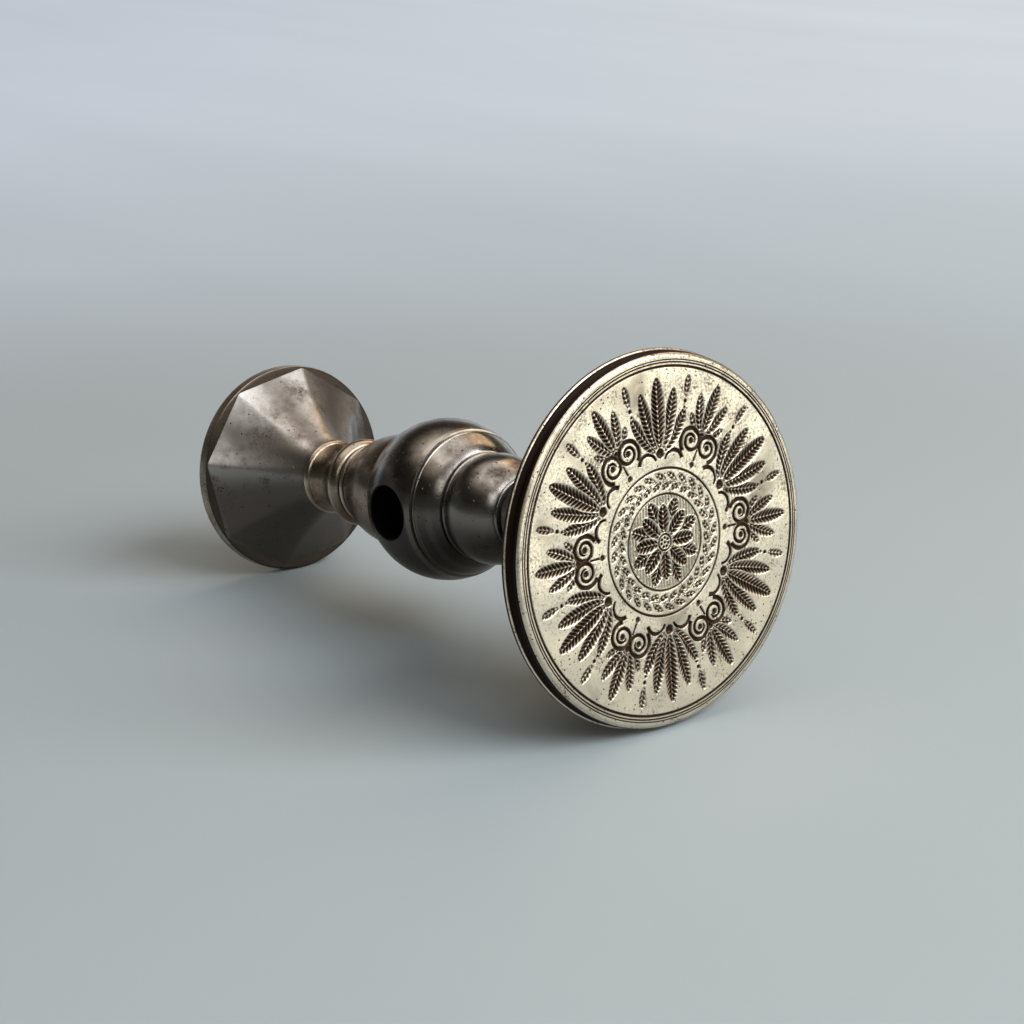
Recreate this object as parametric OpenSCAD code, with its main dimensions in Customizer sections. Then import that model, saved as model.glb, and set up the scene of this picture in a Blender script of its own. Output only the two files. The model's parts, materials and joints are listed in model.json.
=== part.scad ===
// Desk seal with two engraving discs on a turned steel handle, lying on its two rims.
// The pieces are stacked along one axis, from the small face at z = 0 up to the main face,
// and each piece is then laid over with the whole stack. All sizes are in millimetres.

/* [Main disc] */
// Radius over the band at the back of the main disc, the widest part of the seal
main_r = 20; // [17:0.5:24]
// How far the front edge of the main disc stands in from that band
main_face_inset = 0.3; // [0.1:0.05:0.6]
// Thickness of the main disc
main_plate_t = 2.2; // [2:0.1:4]
// Width of the band
main_band_h = 0.56; // [0.4:0.02:0.8]
// Chamfer on both edges of the band
main_band_c = 0.15; // [0.05:0.05:0.25]
// Radius of the rounded front edge
main_edge_b = 0.5; // [0.3:0.05:0.7]
// Plain band between the front edge and the cove
main_edge_band = 0.05; // [0.05:0.05:0.3]
// Depth of the cove between the front edge and the band
main_cove_d = 0.45; // [0.2:0.05:0.6]
// Radius of the tenon that sets the main disc in its boss
main_tenon_r = 6; // [4:0.5:8]
// Length of that tenon
main_tenon_l = 3; // [2:0.5:5]

/* [Main boss] */
// Corner radius of the eight-sided boss where it meets the main disc
main_boss_base_r = 18.5; // [15:0.5:19]
// Corner radius of its narrow end
main_boss_end_r = 4.33; // [3.6:0.05:5.5]
// Length of the boss
main_boss_l = 20; // [16:0.2:26]
// Depth of the hollow in each facet
main_boss_hollow = 2.2; // [0.5:0.1:3]
// How far the boss is turned about the seal's axis
main_boss_turn = 0; // [0:1:44]

/* [Neck ring] */
// Radius of the thin ring between the main boss and the bell
neck_ring_r = 4.25; // [3.8:0.05:5.5]
// Thickness of its flange
neck_ring_t = 0.5; // [0.3:0.05:1]
// Radius of the spacer beside the flange
neck_hub_r = 3.6; // [3:0.05:3.8]
// Length of the spacer
neck_hub_l = 0.7; // [0.4:0.1:2]

/* [Bell collar] */
// Radius of the bell's mouth
bell_mouth_r = 6; // [5.2:0.1:6.6]
// Radius of the bell's narrow end
bell_neck_r = 3.9; // [3.4:0.1:4.6]
// Length of the bell above its lip
bell_l = 6.5; // [5.8:0.1:9]
// How far the bell swells past a straight taper
bell_swell = 1.2; // [0.4:0.05:1.5]
// Height of the lip round the bell's mouth
bell_lip_t = 0.4; // [0.2:0.05:0.8]
// How far the lip stands out from the mouth
bell_lip_out = 0.15; // [0.05:0.05:0.4]

/* [Knop] */
// Radius of the ball
knop_r = 9.4; // [9:0.1:12]
// Height of the ball's upper shoulder above its centre
knop_shoulder_h = 4.1; // [4:0.1:5]
// Radius that rounds the ball into its shoulder
knop_shoulder_f = 1; // [0.5:0.1:1.2]
// Outer radius of the convex moulding on the shoulder
band_r = 7.65; // [7.3:0.05:7.75]
// Radius of the moulding's round section
band_b = 2.05; // [1.8:0.05:2.2]
// How deep the moulding sits in the shoulder, which leaves a quarter round and a fine crease
band_sink = 1.85; // [1.7:0.05:1.95]
// Radius of the neck between the moulding and the bell
knop_neck_r = 5.4; // [4.8:0.1:5.8]
// Length of that neck beyond the moulding
knop_neck_l = 0.45; // [0.3:0.05:1]
// Radius of the bore across the ball
cross_bore_r = 3.1; // [2:0.05:3.15]
// Chamfer at both mouths of the bore
cross_bore_chamfer = 0.2; // [0.1:0.05:0.3]
// Radius of the spigot that carries the bell
bell_spigot_r = 3.2; // [2.9:0.1:3.4]
// Length of the spigot that carries the bell
bell_spigot_l = 4.4; // [3.5:0.1:5]
// Radius of the spigot that carries the stem
stem_spigot_r = 3; // [2.4:0.1:3.4]
// Length of the spigot that carries the stem
stem_spigot_l = 6; // [4:0.5:7]

/* [Stem] */
// Radius of the stem's bell where it meets the ball
stem_bell_r = 6.75; // [6:0.05:7.5]
// Radius of the stem's bell at its narrow end
stem_bell_end_r = 4.5; // [4.2:0.05:4.7]
// Length of the stem's bell
stem_bell_l = 8.3; // [7:0.1:11]
// How far the stem's bell swells past a straight taper
stem_bell_swell = 0.74; // [0.3:0.02:1]
// Outer radius of the thin ring below the bell
ring_c_r = 4.8; // [4.6:0.05:5.2]
// Radius of that ring's round section
ring_c_b = 0.35; // [0.2:0.05:0.5]
// Radius of the groove between the thin ring and the thick ring
stem_groove_r = 4.2; // [3.8:0.05:4.4]
// Width of that groove
stem_groove_l = 0.25; // [0.1:0.05:0.6]
// Outer radius of the thick ring
ring_b_r = 5.26; // [4.8:0.02:6]
// Radius of the thick ring's round section
ring_b_b = 1.1; // [0.7:0.05:1.4]
// Radius at both ends of the long cove
stem_cove_r = 4.1; // [3.6:0.05:4.4]
// Depth of the long cove
stem_cove_d = 0.5; // [0.2:0.05:0.8]
// Length of the long cove
stem_cove_l = 4.65; // [3.5:0.05:7]
// Outer radius of the end ring
ring_a_r = 4.52; // [4.2:0.02:5.2]
// Radius of the end ring's round section
ring_a_b = 0.65; // [0.4:0.05:0.9]

/* [Small boss] */
// How far the boss's corners stand in from the rim of the small disc
small_boss_inset = 0.15; // [0:0.05:0.8]
// Corner radius of the boss's narrow end
small_boss_end_r = 4.45; // [3.8:0.05:5.2]
// Length of the boss
small_boss_l = 8.4; // [7.5:0.1:12]
// Depth of the hollow in each facet
small_boss_hollow = 0.8; // [0.1:0.05:1]
// How far the boss is turned about the seal's axis
small_boss_turn = 10.9; // [0:0.1:44.9]

/* [Small disc] */
// Radius of the small disc
small_r = 12.9; // [10:0.05:15]
// Thickness of the small disc
small_plate_t = 1.7; // [1.2:0.1:3]
// Chamfer on both of its edges
small_edge_c = 0.3; // [0.1:0.05:0.5]
// Radius of the tenon that sets the small disc in its boss
small_tenon_r = 4; // [3:0.5:6]
// Length of that tenon
small_tenon_l = 1.8; // [1:0.1:2.2]

/* [Screws] */
// Radius of the main stud
main_stud_r = 2; // [1.5:0.05:2.1]
// Length of the main stud inside the main boss
main_stud_grip = 8; // [5:0.5:10]
// Length of the main stud inside the knop
main_stud_reach = 6.3; // [5:0.1:6.6]
// Radius of the small stud
small_stud_r = 1.75; // [1.3:0.05:2]
// Length of the small stud inside the small boss
small_stud_grip = 5; // [3:0.1:5.2]
// Length of the small stud inside the stem
small_stud_reach = 7.5; // [5:0.1:8]

/* [Fits] */
// Radial clearance of the studs in their holes
stud_clear = 0.05; // [0.02:0.01:0.1]
// Radial gap that solder fills round tenons and spigots
solder_gap = 0.03; // [0.01:0.01:0.1]
// Space left past the end of a stud, tenon or spigot
end_space = 0.3; // [0.1:0.05:0.5]

/* [Hidden] */
$fn = 96;

SIDES = 8;
// How far a cutting shape runs past what it cuts
TRIM = 1;
BRIGHT_STEEL = "#b8b09d";
DARK_STEEL = "#6b665e";
BROWNED_STEEL = "#857c74";

// Heights along the axis where the pieces meet, from the small face up
stem_l = 2 * (ring_a_b + ring_b_b + ring_c_b) + stem_cove_l + stem_groove_l + stem_bell_l;
knop_seat_h = sqrt(knop_r * knop_r - stem_bell_r * stem_bell_r);
band_h = 2 * band_b - band_sink;
small_boss_z = small_plate_t;
stem_z = small_boss_z + small_boss_l;
stem_top_z = stem_z + stem_l;
knop_z = stem_top_z + knop_seat_h;
bell_z = knop_z + knop_shoulder_h + band_h + knop_neck_l;
neck_ring_z = bell_z + bell_lip_t + bell_l;
main_boss_z = neck_ring_z + neck_ring_t + neck_hub_l;
main_plate_z = main_boss_z + main_boss_l;
main_face_z = main_plate_z + main_plate_t;

// The seal lies on the back edge of the main disc's band and the front edge of the small disc
main_face_r = main_r - main_face_inset;
main_rest_z = main_plate_z + main_band_c;
tilt = atan2(main_r - small_r, main_rest_z - small_edge_c);
lift = main_r * cos(tilt) - main_rest_z * sin(tilt);
front_x = (main_face_z - main_edge_b) * cos(tilt) + (main_face_r - main_edge_b) * sin(tilt) + main_edge_b;
back_x = -(small_r - small_edge_c) * sin(tilt);
mid_x = (front_x + back_x) / 2;

// Radius of the arc that rises by "rise" over a chord
function arc_radius(chord, rise) = (chord * chord / 4 + rise * rise) / (2 * rise);

// Lays a piece over with the rest of the stack, from height z on the axis
module lay(z) {
    translate([-mid_x, 0, lift])
        rotate([0, 90 - tilt, 0])
            translate([0, 0, z])
                children();
}

// Half of a turned outline from radius r0 up to r1, whose side swells (bow > 0) or is hollow (bow < 0)
module bowed_side(r0, r1, len, bow) {
    chord = norm([r1 - r0, len]);
    rise = abs(bow);
    big_r = arc_radius(chord, rise);
    out = [len, r0 - r1] / chord;
    mid = [r0 + r1, len] / 2;
    centre = mid - sign(bow) * (big_r - rise) * out;
    reach = max(r0, r1) + rise;
    taper = [[0, 0], [r0, 0], [r1, len], [0, len]];
    if (bow > 0) {
        polygon(taper);
        intersection() {
            translate(centre) circle(big_r);
            square([reach, len]);
        }
    } else {
        difference() {
            polygon(taper);
            translate(centre) circle(big_r);
        }
    }
}

// Section of a round-edged turned ring that stands on y = 0
module ring_section(r, b) {
    square([r - b, 2 * b]);
    translate([r - b, b]) circle(b);
}

// Section of a turned band with chamfered edges that stands on y = 0
module band_section(r, h, c) {
    polygon([[0, 0], [r - c, 0], [r, c], [r, h - c], [r - c, h], [0, h]]);
}

// Outline of a bar whose two sides are hollow arcs, from half-width a0 at y = 0 to a1 at y = len
module waisted_outline(a0, a1, len, hollow) {
    chord = norm([a0 - a1, len]);
    big_r = arc_radius(chord, hollow);
    centre = [a0 + a1, len] / 2 + (big_r - hollow) * [len, a0 - a1] / chord;
    difference() {
        translate([-a0 - TRIM, -TRIM]) square([2 * (a0 + TRIM), len + 2 * TRIM]);
        for (side = [-1, 1])
            translate([side * centre[0], centre[1]]) circle(big_r);
    }
}

// Eight-sided flared boss: crossed bars of one waisted outline share eight hollow facets with sharp ridges
module faceted_boss(base_r, end_r, len, hollow) {
    flat_share = cos(180 / SIDES);
    intersection() {
        cylinder(r = base_r + TRIM, h = len);
        intersection_for (k = [0 : SIDES / 2 - 1])
            rotate([90, 0, 360 / SIDES * k])
                linear_extrude(2 * base_r + 4 * TRIM, center = true)
                    waisted_outline(base_r * flat_share, end_r * flat_share, len, hollow);
    }
}

// Blind hole that is open at z and runs down by depth
module hole_down(z, r, depth) {
    translate([0, 0, z - depth]) cylinder(r = r, h = depth + TRIM);
}

// Blind hole that is open at z and runs up by depth
module hole_up(z, r, depth) {
    translate([0, 0, z - TRIM]) cylinder(r = r, h = depth + TRIM);
}

// Large disc: rounded front edge, cove and back band, with a tenon behind
module main_matrix() {
    cove_top = main_plate_t - main_edge_b - main_edge_band;
    cove_span = cove_top - main_band_h;
    cove_r = arc_radius(cove_span, main_cove_d);
    color(BRIGHT_STEEL) lay(main_plate_z) rotate_extrude() {
        difference() {
            union() {
                square([main_face_r, main_plate_t - main_edge_b]);
                square([main_face_r - main_edge_b, main_plate_t]);
                translate([main_face_r - main_edge_b, main_plate_t - main_edge_b]) circle(main_edge_b);
            }
            translate([main_face_r - main_cove_d + cove_r, cove_top - cove_span / 2]) circle(cove_r);
        }
        band_section(main_r, main_band_h, main_band_c);
        translate([0, -main_tenon_l]) square([main_tenon_r, main_tenon_l + main_plate_t / 2]);
    }
}

// Eight-sided boss behind the large disc
module main_boss() {
    color(BROWNED_STEEL) lay(main_boss_z) difference() {
        translate([0, 0, main_boss_l])
            rotate([180, 0, main_boss_turn])
                faceted_boss(main_boss_base_r, main_boss_end_r, main_boss_l, main_boss_hollow);
        hole_down(main_boss_l, main_tenon_r + solder_gap, main_tenon_l + end_space);
        hole_up(0, main_stud_r + stud_clear, main_stud_grip + end_space);
    }
}

// Screw that draws the main boss, the neck ring and the bell onto the knop
module main_stud() {
    foot_z = bell_z + bell_spigot_l - main_stud_reach;
    color(DARK_STEEL) lay(foot_z)
        cylinder(r = main_stud_r, h = main_boss_z + main_stud_grip - foot_z);
}

// Thin flange with a narrower spacer on the side of the main boss
module neck_ring() {
    flange_b = neck_ring_t / 2;
    color(BRIGHT_STEEL) lay(neck_ring_z) difference() {
        rotate_extrude() {
            ring_section(neck_ring_r, flange_b);
            square([neck_hub_r, neck_ring_t + neck_hub_l]);
        }
        translate([0, 0, -TRIM])
            cylinder(r = main_stud_r + stud_clear, h = neck_ring_t + neck_hub_l + 2 * TRIM);
    }
}

// Bell that sits on the knop's upper spigot
module bell_collar() {
    bell_h = bell_lip_t + bell_l;
    color(DARK_STEEL) lay(bell_z) difference() {
        rotate_extrude() {
            ring_section(bell_mouth_r + bell_lip_out, bell_lip_t / 2);
            translate([0, bell_lip_t]) bowed_side(bell_mouth_r, bell_neck_r, bell_l, bell_swell);
        }
        hole_up(0, bell_spigot_r + solder_gap, bell_spigot_l + end_space);
        hole_down(bell_h, main_stud_r + stud_clear, bell_h + TRIM);
    }
}

// Outline of the ball, its rounded shoulder, the quarter-round moulding, the neck and both spigots
module knop_section() {
    round_h = knop_shoulder_h - knop_shoulder_f;
    round_d = knop_r - knop_shoulder_f;
    round_r = sqrt(round_d * round_d - round_h * round_h);
    tangent_h = round_h * knop_r / round_d;
    neck_top = bell_z - knop_z;
    intersection() {
        circle(knop_r);
        translate([0, -knop_seat_h]) square([knop_r, knop_seat_h + tangent_h]);
    }
    translate([round_r, round_h]) circle(knop_shoulder_f);
    square([round_r, knop_shoulder_h]);
    translate([0, knop_shoulder_h - band_sink]) ring_section(band_r, band_b);
    square([knop_neck_r, neck_top]);
    square([bell_spigot_r, neck_top + bell_spigot_l]);
    translate([0, -knop_seat_h - stem_spigot_l]) square([stem_spigot_r, stem_spigot_l + TRIM]);
}

// Pierced ball with a spigot at each end
module knop() {
    mouth_y = sqrt(knop_r * knop_r - cross_bore_r * cross_bore_r);
    color(DARK_STEEL) lay(knop_z) difference() {
        rotate_extrude() knop_section();
        rotate([90, 0, 0]) cylinder(r = cross_bore_r, h = 2 * (knop_r + TRIM), center = true);
        for (side = [-90, 90])
            rotate([side, 0, 0])
                translate([0, 0, mouth_y - cross_bore_chamfer])
                    cylinder(r1 = cross_bore_r, r2 = cross_bore_r + 2 * TRIM, h = 2 * TRIM);
        hole_down(bell_z - knop_z + bell_spigot_l, main_stud_r + stud_clear, main_stud_reach + end_space);
    }
}

// Turned stem: end ring, long cove, thick ring, groove, thin ring and bell, from the small end up
module stem_section() {
    cove_y = 2 * ring_a_b;
    ring_b_y = cove_y + stem_cove_l;
    groove_y = ring_b_y + 2 * ring_b_b;
    ring_c_y = groove_y + stem_groove_l;
    bell_y = ring_c_y + 2 * ring_c_b;
    ring_section(ring_a_r, ring_a_b);
    translate([0, cove_y]) bowed_side(stem_cove_r, stem_cove_r, stem_cove_l, -stem_cove_d);
    translate([0, ring_b_y]) ring_section(ring_b_r, ring_b_b);
    translate([0, groove_y]) square([stem_groove_r, stem_groove_l]);
    translate([0, ring_c_y]) ring_section(ring_c_r, ring_c_b);
    translate([0, bell_y]) bowed_side(stem_bell_end_r, stem_bell_r, stem_bell_l, stem_bell_swell);
}

// Stem between the ball and the small boss, bored for the knop's spigot and the small stud
module stem() {
    color(BROWNED_STEEL) lay(stem_z) difference() {
        rotate_extrude() stem_section();
        hole_down(stem_l, stem_spigot_r + solder_gap, stem_spigot_l + end_space);
        hole_up(0, small_stud_r + stud_clear, small_stud_reach + end_space);
    }
}

// Screw that draws the small boss onto the stem
module small_stud() {
    color(DARK_STEEL) lay(stem_z - small_stud_grip)
        cylinder(r = small_stud_r, h = small_stud_grip + small_stud_reach);
}

// Eight-sided boss of the small end
module small_boss() {
    color(BROWNED_STEEL) lay(small_boss_z) difference() {
        rotate([0, 0, small_boss_turn])
            faceted_boss(small_r - small_boss_inset, small_boss_end_r, small_boss_l, small_boss_hollow);
        hole_up(0, small_tenon_r + solder_gap, small_tenon_l + end_space);
        hole_down(small_boss_l, small_stud_r + stud_clear, small_stud_grip + end_space);
    }
}

// Small disc with chamfered edges and a tenon behind
module small_matrix() {
    color(BROWNED_STEEL) lay(0) rotate_extrude() {
        band_section(small_r, small_plate_t, small_edge_c);
        square([small_tenon_r, small_plate_t + small_tenon_l]);
    }
}

main_matrix();
main_boss();
main_stud();
neck_ring();
bell_collar();
knop();
stem();
small_stud();
small_boss();
small_matrix();
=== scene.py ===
# %% [markdown]
# A desk seal of turned steel, lying on its two rims.
# The solids come from the imported CAD model and already sit in the right places.
# This script dresses them: it cuts the faces, threads the screws, ages the steel and lights the table.

# %% Load the frame
import json
import math

import bpy
import numpy as np
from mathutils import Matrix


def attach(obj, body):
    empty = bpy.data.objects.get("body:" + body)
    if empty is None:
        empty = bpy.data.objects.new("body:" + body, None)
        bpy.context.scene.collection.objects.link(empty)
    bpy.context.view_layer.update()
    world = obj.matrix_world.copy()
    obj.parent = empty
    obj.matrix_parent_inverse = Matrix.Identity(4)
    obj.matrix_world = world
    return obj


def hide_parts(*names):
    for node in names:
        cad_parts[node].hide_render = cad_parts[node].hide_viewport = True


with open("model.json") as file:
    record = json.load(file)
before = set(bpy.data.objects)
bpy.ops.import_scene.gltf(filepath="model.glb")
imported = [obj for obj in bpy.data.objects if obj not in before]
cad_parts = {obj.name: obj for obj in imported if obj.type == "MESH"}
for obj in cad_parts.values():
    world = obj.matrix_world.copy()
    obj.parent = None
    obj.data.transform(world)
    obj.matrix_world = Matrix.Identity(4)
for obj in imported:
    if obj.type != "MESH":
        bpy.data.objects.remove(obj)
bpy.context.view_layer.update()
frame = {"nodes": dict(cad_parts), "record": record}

# %% [markdown]
# Everything on the seal was turned or filed round one axis, which leans because the two discs differ in size.
# It is far easier to think in radius, angle and height along that axis than in room coordinates.
# The two faces in the record give the axis, and one function takes such a place to the room, in metres.

# %% The seal's own axes
mounts = {m["name"]: m for m in frame["record"]["mounts"]}
FOOT = np.array(mounts["small_face"]["pos_m"]) * 1000
AXIS = np.array(mounts["main_face"]["axis"])
SIDE = np.array([0.0, -1.0, 0.0])
UP = np.cross(SIDE, AXIS)
TILT = math.atan2(AXIS[2], AXIS[0])
FACE_Z, BORE_Z = (float((np.array(mounts[name]["pos_m"]) * 1000 - FOOT) @ AXIS) for name in ("main_face", "cross_bore"))
BORE_R = mounts["cross_bore"]["dims"]["r_mm"]


def place(r, angle, z):
    """Foot of the axis, plus z along it, plus r turned by angle from straight up; millimetres in, metres out."""
    r, angle, z = np.broadcast_arrays(r, angle, z)
    up, side = r * np.cos(angle), r * np.sin(angle)
    return (FOOT + z[..., None] * AXIS + up[..., None] * UP + side[..., None] * SIDE) / 1000


def around(count):
    """Angles of count equal steps round the axis, as one row."""
    return np.linspace(0, 2 * np.pi, count, endpoint=False)[None, :]


print(f"axis leans {math.degrees(TILT):.2f} degrees, face to face {FACE_Z:.2f} mm")

# %% [markdown]
# The photographer stood close, a little above the table, in front of the large face and to its side.
# A long lens keeps the small end from shrinking too much.
# The place and lens were found by fitting the outlines of the two discs and the ball.

# %% Camera
camera = bpy.data.objects.new("camera", bpy.data.cameras.new("camera"))
bpy.context.scene.collection.objects.link(camera)
camera.data.sensor_width = 36
camera.data.lens = 81.909
camera.location = (0.20383, -0.15667, 0.09253)
camera.rotation_euler = [math.radians(a) for a in (73.2458, 0, 51.0741)]
camera.data.clip_start, camera.data.clip_end = 0.01, 100
bpy.context.scene.camera = camera
bpy.context.scene.view_settings.view_transform = "Standard"
print(f"camera {1000 * camera.location.length:.0f} mm from the spot below the seal's middle")

# %% [markdown]
# Materials are small graphs of nodes. Three helpers are enough for all of them.
# One turns a colour as a painter would write it into the linear light that the renderer counts in.
# One adds a node, sets its values and links its inputs in one line.
# One starts a material with the renderer's general shader.

# %% Colour and node helpers
SOFT = {"interpolation_type": "SMOOTHSTEP"}
BLEND = {"data_type": "RGBA"}
TINT = {"data_type": "RGBA", "blend_type": "MULTIPLY"}


def linear(code):
    """An sRGB hex colour as linear light: each channel to the power 2.4, with the straight part near black."""
    c = np.array([int(code[i:i + 2], 16) for i in (1, 3, 5)]) / 255
    c = np.where(c <= 0.04045, c / 12.92, ((c + 0.055) / 1.055) ** 2.4)
    return (*c.tolist(), 1.0)


def add(tree, kind, inputs=(), **settings):
    """Adds one node: settings are its properties, and each input gets a value or another node's socket."""
    node = tree.nodes.new("ShaderNode" + kind)
    for key, value in settings.items():
        setattr(node, key, value)
    for key, value in dict(inputs).items():
        if isinstance(value, bpy.types.NodeSocket):
            tree.links.new(value, node.inputs[key])
        else:
            node.inputs[key].default_value = value
    return node


def new_material(name):
    """A material with its tree of nodes and the general shader in it."""
    material = bpy.data.materials.new(name)
    material.use_nodes = True
    return material, material.node_tree, material.node_tree.nodes["Principled BSDF"]


print("white is", linear("#ffffff"), "and mid grey is", np.round(linear("#808080"), 3).tolist())

# %% [markdown]
# The table is a pale painted board. A flat square would do for the photograph's own view,
# but its far edge shows when the camera goes low.
# So it is a round floor that rises to a low wall three metres off, and no edge of it shows from any side.

# %% The table's mesh
SIDES = 96
FLOOR_R, WALL_R, WALL_TOP = 3.0, 3.1, 0.8
angle = around(SIDES)[0]
circle = np.stack([np.cos(angle), np.sin(angle)], 1)
rings = [np.column_stack([r * circle, np.full(SIDES, z)]) for r, z in ((FLOOR_R, 0), (WALL_R, WALL_TOP))]
low = np.arange(SIDES)
high = low + SIDES
wall = np.stack([high, np.roll(high, -1), np.roll(low, -1), low], 1)
mesh = bpy.data.meshes.new("table")
mesh.from_pydata(np.concatenate(rings).tolist(), [], [low.tolist()] + wall.tolist())
table = bpy.data.objects.new("table", mesh)
bpy.context.scene.collection.objects.link(table)
print("table", round(table.dimensions.x, 2), "m wide")

# %% [markdown]
# Matt paint takes light and shadow evenly: the eye sees the seal's shadow, and no mirror image.
# Its colour has broad faint smears, as from a brush.
# Further off a second colour takes over, lighter and a little more violet behind the seal, and darker and bluer at the
# left as painted fall-off of light.

# %% The table's paint
BEHIND, ACROSS = (-0.778, 0.628, 0), (0.628, 0.778, 0)
paint, tree, shader = new_material("painted_board_matt")
where = add(tree, "TexCoord").outputs["Object"]
far = add(tree, "VectorMath", {0: where}, operation="LENGTH").outputs["Value"]
# Painted light: the far glow is darker and bluer at the left, as light that falls off away from the lamps.
light_falloff = add(tree, "VectorMath", {0: where, 1: ACROSS}, operation="DOT_PRODUCT").outputs["Value"]
light_falloff = add(tree, "MapRange", {"Value": light_falloff, "From Min": -0.2, "From Max": 0.2}).outputs[0]
light_falloff = add(tree, "Mix", {0: light_falloff, 6: (0.89, 0.89, 0.95, 1), 7: (1.05, 1.05, 1.06, 1)}, **BLEND).outputs[2]
# A smear is about 330 mm long, along the seal, and 70 mm wide.
smear = add(tree, "Mapping", {"Vector": where, "Rotation": (0, 0, math.radians(51.7)), "Scale": (3, 14, 1)}).outputs[0]
smear = add(tree, "TexNoise", {"Vector": smear, "Scale": 1.0, "Detail": 4.0}).outputs[0]
smear = add(tree, "MapRange", {"Value": smear, "To Min": 0.95, "To Max": 1.05}).outputs[0]
near = add(tree, "Mix", {0: 1.0, 6: linear("#bdc7ca"), 7: smear}, **TINT).outputs[2]
tree.links.new(near, shader.inputs["Base Color"])
shader.inputs["Roughness"].default_value = 0.6
shader.inputs["Specular IOR Level"].default_value = 0.25
haze = add(tree, "MapRange", {"Value": far, "From Min": 0.2, "From Max": 0.55}, **SOFT).outputs[0]
haze = add(tree, "Mix", {0: haze, 6: linear("#bac1c3"), 7: linear("#ccd2d6")}, **BLEND).outputs[2]
for shade in (smear, light_falloff):
    haze = add(tree, "Mix", {0: 1.0, 6: haze, 7: shade}, **TINT).outputs[2]
haze = add(tree, "Emission", {"Color": haze}).outputs[0]
print("paint near the seal is", np.round(linear("#bdc7ca")[:3], 2).tolist(), "in linear light")

# %% [markdown]
# That second colour is an even glow, as of a bright wall, because the lamps stand too near to light a far table.
# The camera sees it on all sides. The steel mirrors it only behind the seal, where the photograph's room is bright.
# For the rest of the light the table stays plain paint, so the glow adds no light to the seal's own shadow.

# %% The table's glow far off
rays = add(tree, "LightPath").outputs
behind = add(tree, "VectorMath", {0: where}, operation="NORMALIZE").outputs[0]
behind = add(tree, "VectorMath", {0: behind, 1: BEHIND}, operation="DOT_PRODUCT").outputs["Value"]
behind = add(tree, "MapRange", {"Value": behind, "From Min": 0.5, "From Max": 0.75}, **SOFT).outputs[0]
seen = add(tree, "Math", {0: rays["Is Glossy Ray"], 1: behind}, operation="MULTIPLY").outputs[0]
for ray in ("Is Camera Ray", "Is Transmission Ray"):
    seen = add(tree, "Math", {0: seen, 1: rays[ray]}, operation="MAXIMUM").outputs[0]
fade = add(tree, "MapRange", {"Value": far, "From Min": 0.09, "From Max": 0.26}, **SOFT).outputs[0]
fade = add(tree, "Math", {0: fade, 1: seen}, operation="MULTIPLY").outputs[0]
surface = add(tree, "MixShader", {0: fade, 1: shader.outputs[0], 2: haze}).outputs[0]
tree.links.new(surface, tree.nodes["Material Output"].inputs["Surface"])
table.data.materials.append(paint)
print("the table's paint has", len(tree.nodes), "nodes")

# %% [markdown]
# Steel shows what surrounds it, so the lamps are soft panels, each for one thing that the eye sees.
# A panel's power is worked out from how bright it should look: brightness times pi times area.

# %% Lamps
SEAL_MIDDLE = (0, 0, 0.02)


def panel(name, spot, size, colour, glow):
    """A soft panel at spot that faces the seal and looks glow times as bright as white paper."""
    lamp = bpy.data.objects.new(name, bpy.data.lights.new(name, "AREA"))
    bpy.context.scene.collection.objects.link(lamp)
    lamp.data.shape = "RECTANGLE"
    lamp.data.size, lamp.data.size_y = size
    lamp.data.color = linear(colour)[:3]
    lamp.data.energy = glow * math.pi * size[0] * size[1]
    away = np.array(spot) - np.array(SEAL_MIDDLE)
    lamp.location = spot
    lamp.rotation_euler = (math.atan2(math.hypot(*away[:2]), away[2]), 0, math.atan2(away[0], -away[1]))
    lamp.visible_camera = False


# The key is cool and comes from the front right: it lights the table, and the face shades the handle behind it.
panel("key_panel", (0.594, 0.216, 0.589), (0.8, 0.4), "#f4f9ff", 5.6)
# A low card at the right is what the face mirrors.
panel("side_card", (0.50, 0.29, 0.165), (0.45, 0.28), "#fff6e6", 3.3)
# A warm panel behind fills the shadow and gilds the tops of the mouldings.
panel("back_panel", (-0.132, 0.492, 0.55), (0.42, 0.36), "#ffdcb0", 1.7)
# A large panel overhead fills the shadow and shows on top of every round form.
panel("sky_panel", (0.0, 0.03, 0.69), (0.64, 0.64), "#f2f3f6", 0.85)
# A small card above the camera lights the ridges.
panel("brow_card", (0.51, -0.29, 0.40), (0.3, 0.26), "#f6f4ee", 1.7)

# %% [markdown]
# The room is pale at the horizon behind the seal and dim elsewhere. Only the steel sees a pale ceiling.
# A sphere of light in the world's nodes is enough for that, and needs no walls.

# %% Room
FAR_SIDE = (-0.784, 0.62, 0)
DIM, PALE, CEILING = 0.03, 0.65, 0.9
world = bpy.data.worlds.new("room")
bpy.context.scene.world = world
world.use_nodes = True
tree = world.node_tree
way = add(tree, "TexCoord").outputs["Generated"]
height = add(tree, "SeparateXYZ", {0: way}).outputs["Z"]
horizon = {"Value": height, "From Max": 0.55, "To Min": 1.0, "To Max": 0.0}
horizon = add(tree, "MapRange", horizon, **SOFT).outputs[0]
behind = add(tree, "VectorMath", {0: way, 1: FAR_SIDE}, operation="DOT_PRODUCT").outputs["Value"]
behind = add(tree, "MapRange", {"Value": behind, "From Min": -0.2}).outputs[0]
glow = add(tree, "Math", {0: horizon, 1: behind}, operation="MULTIPLY").outputs[0]
glow = add(tree, "MapRange", {"Value": glow, "To Min": DIM, "To Max": PALE}).outputs[0]
above = {"Value": height, "From Min": 0.62, "From Max": 0.95, "To Max": CEILING}
above = add(tree, "MapRange", above, **SOFT).outputs[0]
mirrored = add(tree, "LightPath").outputs["Is Glossy Ray"]
above = add(tree, "Math", {0: above, 1: mirrored}, operation="MULTIPLY").outputs[0]
glow = add(tree, "Math", {0: glow, 1: above}, operation="MAXIMUM").outputs[0]
tree.links.new(glow, tree.nodes["Background"].inputs["Strength"])
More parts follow.
